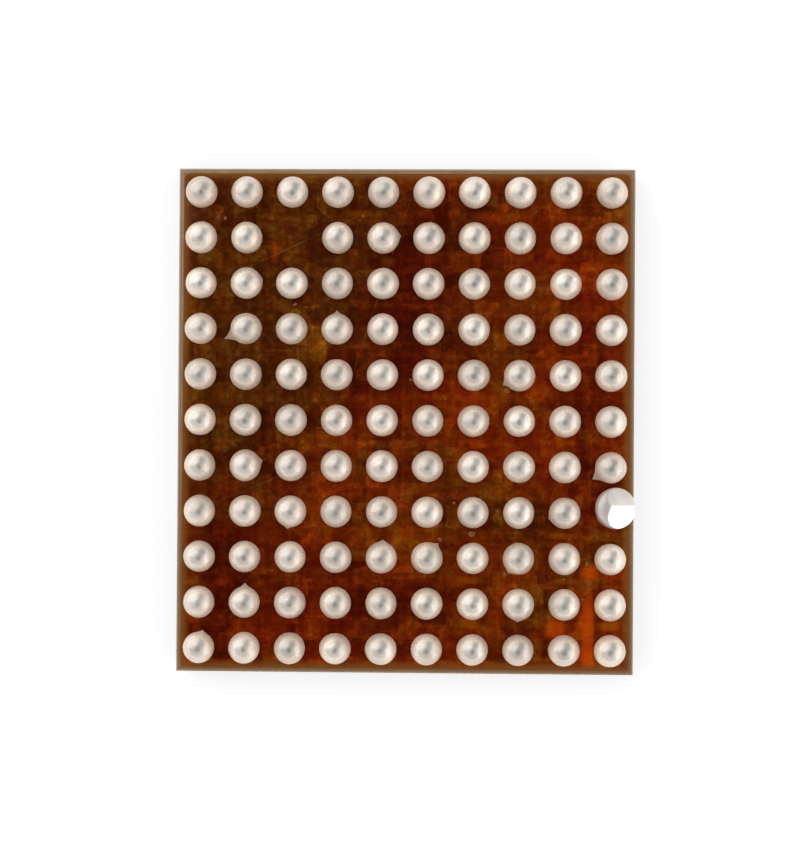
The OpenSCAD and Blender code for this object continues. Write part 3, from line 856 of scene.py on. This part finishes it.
# the remesh can't solve a grid as fine as this in metres, so the ball is enlarged for it
bpy.ops.mesh.select_all(action="SELECT")
bpy.ops.transform.resize(value=(enlarged, enlarged, enlarged), center_override=(0, 0, 0))
bpy.ops.object.mode_set(mode="OBJECT")
remesh = slump.modifiers.new("remesh", "REMESH")
remesh.mode = "VOXEL"
remesh.voxel_size = voxel * enlarged
bpy.ops.object.modifier_apply(modifier=remesh.name)
soften = slump.modifiers.new("soften", "SMOOTH")
soften.factor = 0.5
soften.iterations = soften_rounds
bpy.ops.object.modifier_apply(modifier=soften.name)
bpy.ops.object.mode_set(mode="EDIT")
bpy.ops.mesh.select_all(action="SELECT")
bpy.ops.transform.resize(value=(1 / enlarged, 1 / enlarged, 1 / enlarged), center_override=(0, 0, 0))
bpy.ops.mesh.bisect(
    plane_co=(slump_high.x, 0, 0), plane_no=(1, 0, 0),
    use_fill=True, clear_outer=True, threshold=cut_tolerance,
)
bpy.ops.object.mode_set(mode="OBJECT")
bpy.ops.object.shade_smooth_by_angle(angle=smooth_below)

slump_metal, tree, shader = surface("slumped_ball_solder")
skin = place_group(tree, solder_skin, {
    "Pale": solder_pale, "Grey": solder_grey, "Flux And Reflection": amber_flux_and_reflection,
    "Flux From": slump_high.z - blob_height * 0.35, "Flux To": lip_top,
    "Bare Metal": 0.36, "Amber Band Metal": 0.2,
})
# painted highlight: skin facing towards the right-hand lamp, with the lower flat and the sawn side, is
# whitened, made metallic and smooth, and a patch beside it is whitened, made metallic and rougher
spot = fit_node(tree, "ShaderNodeTexCoord")
faces_highlight = fit_node(tree, "ShaderNodeVectorMath", {
    0: spot.outputs["Normal"], 1: highlight_facing,
}, operation="DOT_PRODUCT")
faces_highlight = ramp_between(tree, faces_highlight.outputs["Value"], 0.74, 0.86)
place = fit_node(tree, "ShaderNodeSeparateXYZ", {0: spot.outputs["Object"]}).outputs
outward = ramp_between(tree, place["X"], slump_site.x + highlight_patch_left[0], slump_site.x + highlight_patch_left[1])
downward = ramp_between(tree, place["Y"], slump_site.y + highlight_patch_top[0], slump_site.y + highlight_patch_top[1], 1.0, 0.0)
highlight_patch = arithmetic(tree, "MULTIPLY", outward, downward)
painted_highlight = arithmetic(tree, "MAXIMUM", faces_highlight, highlight_patch)
tree.links.new(blend_colours(tree, painted_highlight, skin["Color"], painted_highlight_white), shader.inputs["Base Color"])
rough = arithmetic(tree, "MULTIPLY", skin["Roughness"], ramp_between(tree, faces_highlight, 0.0, 1.0, 1.0, 0.5))
off_highlight_roughness = ramp_between(tree, faces_highlight, 0.0, 1.0, 0.55, 0.1)
rough = arithmetic(tree, "MAXIMUM", rough, arithmetic(tree, "MULTIPLY", highlight_patch, off_highlight_roughness))
tree.links.new(rough, shader.inputs["Roughness"])
metal = arithmetic(tree, "MAXIMUM", skin["Metallic"], arithmetic(tree, "MULTIPLY", painted_highlight, 0.95))
tree.links.new(metal, shader.inputs["Metallic"])
raise_surface(tree, shader, skin["Height"], skin_grain_depth, 0.13)
slump.data.materials.clear()
slump.data.materials.append(slump_metal)
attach(slump, "root")
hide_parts("slumped_ball")


# ---- Specks ----
# Crumbs of solder and baked flux that spattered in the melt and stuck to the coat between the
# balls. They are pinkish, dull and only a few hundredths of a millimetre across.
speck_pink = (0.5, 0.2, 0.1, 1)
speck_tan = (0.34, 0.11, 0.035, 1)
speck_grain_depth = 0.000001
specks = [
    # column, row, width and height in metres
    (6.97, 8.48, 0.00006, 0.000018), (6.58, 7.8, 0.00003, 0.000012), (9.5, 9.12, 0.00004, 0.00001),
    (6.27, 8.6, 0.00004, 0.00003), (7.7, 9.36, 0.00004, 0.000014), (9.0, 9.46, 0.00003, 0.000012),
    (1.5, 1.55, 0.00003, 0.00001), (3.05, 3.45, 0.00004, 0.00001), (9.42, 9.9, 0.00003, 0.00001),
    (5.62, 5.1, 0.00003, 0.00001), (4.55, 1.5, 0.00003, 0.00001), (7.73, 5.32, 0.00005, 0.00003),
]
random.seed(23)
crumbs = []
for column, row, width, height in specks:
    bpy.ops.object.select_all(action="DESELECT")
    place = (first_column_x + (column - 1) * pitch, first_row_y - (row - 1) * pitch, coat_top)
    bpy.ops.mesh.primitive_ico_sphere_add(subdivisions=3, radius=width / 2, location=place)
    crumb = bpy.context.object
    bpy.ops.object.mode_set(mode="EDIT")
    bpy.ops.mesh.select_all(action="SELECT")
    bpy.ops.transform.resize(value=(1, random.uniform(0.6, 0.95), height / width), center_override=place)
    bpy.ops.transform.rotate(value=random.uniform(0, math.pi), orient_axis="Z", center_override=place)
    bpy.ops.transform.vertex_random(
        offset=width * 0.14, uniform=0.0, normal=0.6, seed=random.randint(1, 999),
    )
    bpy.ops.mesh.vertices_smooth(factor=0.5, repeat=1)
    bpy.ops.object.mode_set(mode="OBJECT")
    bpy.ops.object.transform_apply(location=True, rotation=True, scale=True)
    crumbs.append(crumb)
bpy.ops.object.select_all(action="DESELECT")
for crumb in crumbs:
    crumb.select_set(True)
bpy.context.view_layer.objects.active = crumbs[0]
bpy.ops.object.join()
spatter = bpy.context.object
spatter.name = "solder_specks"
bpy.ops.object.shade_smooth()
crust, tree, shader = surface("speck_crust")
fine = place_group(tree, grain, {"Per Metre": 60000.0, "Low": 0.35, "High": 0.65})["Value"]
tree.links.new(blend_colours(tree, fine, speck_pink, speck_tan), shader.inputs["Base Color"])
tree.links.new(ramp_between(tree, fine, 0.0, 1.0, 0.4, 0.65), shader.inputs["Roughness"])
shader.inputs["Specular IOR Level"].default_value = 0.15
raise_surface(tree, shader, fine, speck_grain_depth, 0.6)
spatter.data.materials.clear()
spatter.data.materials.append(crust)
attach(spatter, "root")
